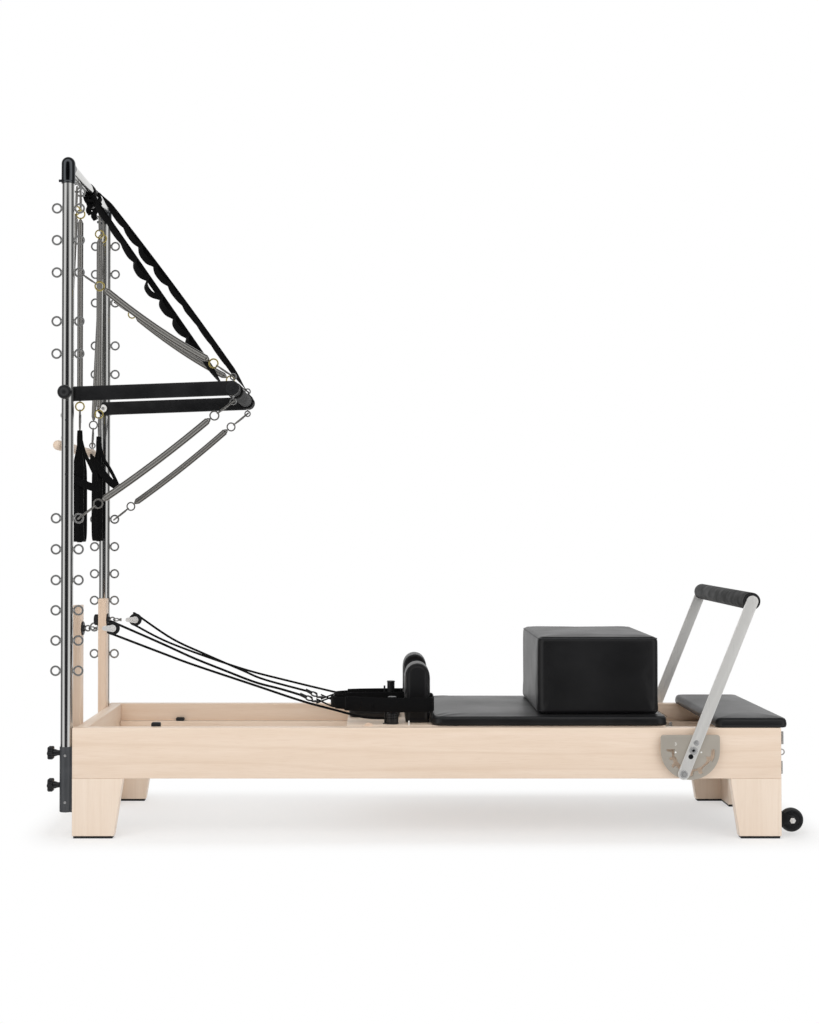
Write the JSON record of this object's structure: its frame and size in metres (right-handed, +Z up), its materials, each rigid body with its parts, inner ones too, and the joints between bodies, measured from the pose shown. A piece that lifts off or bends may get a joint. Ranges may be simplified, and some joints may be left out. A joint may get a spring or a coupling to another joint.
{
  "type": "pilates tower unit",
  "caption": "Wooden Pilates reformer with a steel tower at its head end: sliding carriage, footbar, push-through bar, springs, ropes, foot loops and sitting box.",
  "frame": {"origin": "on the floor under the middle of the unit", "axes": "+X towards the foot end, along the rails; +Y from the near rail to the far rail; +Z up"},
  "size_m": [2.5326, 0.7956, 2.279],
  "materials": {
    "maple": "clear satin lacquer",
    "tube_steel": "polished steel tube",
    "bright_steel": "satin plated flat bar",
    "gear_steel": "brushed flat plate",
    "track_steel": "grey painted tracks and bar",
    "dark_chrome": "dark polished chrome",
    "grey_paint": "dark grey powder coat",
    "spring_steel": "close-wound wire, plated",
    "webbing": "black nylon webbing",
    "rope": "black braided cord and padded webbing",
    "black_paint": "black powder coat",
    "black_plastic": "moulded, matte",
    "block_metal": "brushed cheeks and plated fittings",
    "vinyl": "black upholstery vinyl",
    "grey_vinyl": "grey upholstery vinyl",
    "foam_grip": "foam grip, matte",
    "roller": "rubber-faced roller",
    "tyre": "solid rubber tyre on a moulded rim"
  },
  "bodies": {
    "base": {"near_rail": "maple", "near_head_leg": "maple", "near_foot_leg": "maple", "near_rail_stop": "black_plastic", "near_upright": "tube_steel", "near_corner_cap": "dark_chrome", "near_sleeve": "grey_paint", "near_gear_plate": "gear_steel", "near_wheel_bracket": "black_paint", "near_pulley_block": "block_metal", "near_upper_spring": "spring_steel", "near_lower_spring": "spring_steel", "near_safety_strap": "webbing", "far_rail": "maple", "far_head_leg": "maple", "far_foot_leg": "maple", "far_rail_stop": "black_plastic", "far_upright": "tube_steel", "far_corner_cap": "dark_chrome", "far_sleeve": "grey_paint", "far_gear_plate": "gear_steel", "far_wheel_bracket": "black_paint", "far_pulley_block": "block_metal", "far_upper_spring": "spring_steel", "far_lower_spring": "spring_steel", "far_safety_strap": "webbing", "head_board": "maple", "foot_board": "maple", "track_frame": "track_steel", "foot_platform": "grey_vinyl", "tower_crossbar": "tube_steel", "near_bar_spring": "spring_steel", "far_bar_spring": "spring_steel"},
    "carriage": {"carriage_deck": "maple", "carriage_pad": "grey_vinyl", "near_rope": "rope", "far_rope": "rope", "carriage_spring": "spring_steel"},
    "head_wheels": {"head_wheelset": "roller"},
    "foot_wheels": {"foot_wheelset": "roller"},
    "head_cushion": {"headrest": "vinyl"},
    "box": {"sitting_box": "vinyl"},
    "footbar": {"footbar_frame": "bright_steel", "footbar_grip": "foam_grip"},
    "push_bar": {"near_push_arm": "black_paint", "far_push_arm": "black_paint", "push_crossbar": "black_paint"},
    "roll_bar": {"roll_down_bar": "maple"},
    "near_rest": {"near_shoulder_rest": "vinyl"},
    "near_knob": {"near_pivot_knob": "black_plastic"},
    "near_hanging_loop": {"near_loop_spring": "spring_steel", "near_foot_loop": "webbing"},
    "near_rope_sheave": {"near_sheave": "black_plastic"},
    "near_castor": {"near_transport_wheel": "tyre"},
    "far_rest": {"far_shoulder_rest": "vinyl"},
    "far_knob": {"far_pivot_knob": "black_plastic"},
    "far_hanging_loop": {"far_loop_spring": "spring_steel", "far_foot_loop": "webbing"},
    "far_rope_sheave": {"far_sheave": "black_plastic"},
    "far_castor": {"far_transport_wheel": "tyre"}
  },
  "joints": [
    {"name": "carriage_slide", "type": "slide", "parent": "base", "child": "carriage", "axis": [1, 0, 0], "range_m": [-0.6, 0], "deforming": ["near_rope", "far_rope", "carriage_spring"]},
    {"name": "head_wheels_roll", "type": "hinge", "parent": "carriage", "child": "head_wheels", "pos_m": [-0.172, 0, 0.3233], "axis": [0, 1, 0], "continuous": true},
    {"name": "foot_wheels_roll", "type": "hinge", "parent": "carriage", "child": "foot_wheels", "pos_m": [0.698, 0, 0.3233], "axis": [0, 1, 0], "continuous": true},
    {"name": "headrest_tilt", "type": "hinge", "parent": "carriage", "child": "head_cushion", "pos_m": [-0.088, 0, 0.3687], "axis": [0, 1, 0], "range_deg": [0, 40]},
    {"name": "box_lift_off", "type": "slide", "parent": "carriage", "child": "box", "axis": [0, 0, 1], "range_m": [0, 0.25]},
    {"name": "near_rest_lift_out", "type": "slide", "parent": "carriage", "child": "near_rest", "axis": [0, 0, 1], "range_m": [0, 0.12]},
    {"name": "far_rest_lift_out", "type": "slide", "parent": "carriage", "child": "far_rest", "axis": [0, 0, 1], "range_m": [0, 0.12]},
    {"name": "footbar_swing", "type": "hinge", "parent": "base", "child": "footbar", "pos_m": [0.878, 0, 0.297], "axis": [0, 1, 0], "range_deg": [-58, 60]},
    {"name": "push_bar_swing", "type": "hinge", "parent": "base", "child": "push_bar", "pos_m": [-1.2043, 0, 1.484], "axis": [0, -1, 0], "range_deg": [-60, 75], "deforming": ["near_upper_spring", "far_upper_spring", "near_lower_spring", "far_lower_spring", "near_safety_strap", "far_safety_strap"]},
    {"name": "roll_bar_pull", "type": "slide", "parent": "base", "child": "roll_bar", "axis": [0, 0, 1], "range_m": [-0.35, 0], "stiffness_N_per_m": 120, "springref_m": 0.03, "deforming": ["near_bar_spring", "far_bar_spring"]},
    {"name": "near_knob_turn", "type": "hinge", "parent": "base", "child": "near_knob", "pos_m": [-1.2043, -0.325, 1.484], "axis": [0, 1, 0], "continuous": true},
    {"name": "near_loop_swing", "type": "hinge", "parent": "base", "child": "near_hanging_loop", "pos_m": [-1.2043, -0.13, 2.207], "axis": [0, -1, 0], "range_deg": [0, 25]},
    {"name": "near_sheave_spin", "type": "hinge", "parent": "base", "child": "near_rope_sheave", "pos_m": [-1.0693, -0.225, 0.69], "axis": [0, 1, 0], "continuous": true},
    {"name": "near_castor_roll", "type": "hinge", "parent": "base", "child": "near_castor", "pos_m": [1.2263, -0.284, 0.051], "axis": [0, 1, 0], "continuous": true},
    {"name": "far_knob_turn", "type": "hinge", "parent": "base", "child": "far_knob", "pos_m": [-1.2043, 0.325, 1.484], "axis": [0, 1, 0], "continuous": true},
    {"name": "far_loop_swing", "type": "hinge", "parent": "base", "child": "far_hanging_loop", "pos_m": [-1.2043, 0.20638, 2.207], "axis": [0, -1, 0], "range_deg": [0, 25]},
    {"name": "far_sheave_spin", "type": "hinge", "parent": "base", "child": "far_rope_sheave", "pos_m": [-1.0693, 0.225, 0.69], "axis": [0, 1, 0], "continuous": true},
    {"name": "far_castor_roll", "type": "hinge", "parent": "base", "child": "far_castor", "pos_m": [1.2263, 0.284, 0.051], "axis": [0, 1, 0], "continuous": true}
  ],
  "couplings": [
    {"joint": "head_wheels_roll", "follows": "carriage_slide", "rad_per_m": 55.556},
    {"joint": "foot_wheels_roll", "follows": "carriage_slide", "rad_per_m": 55.556}
  ]
}
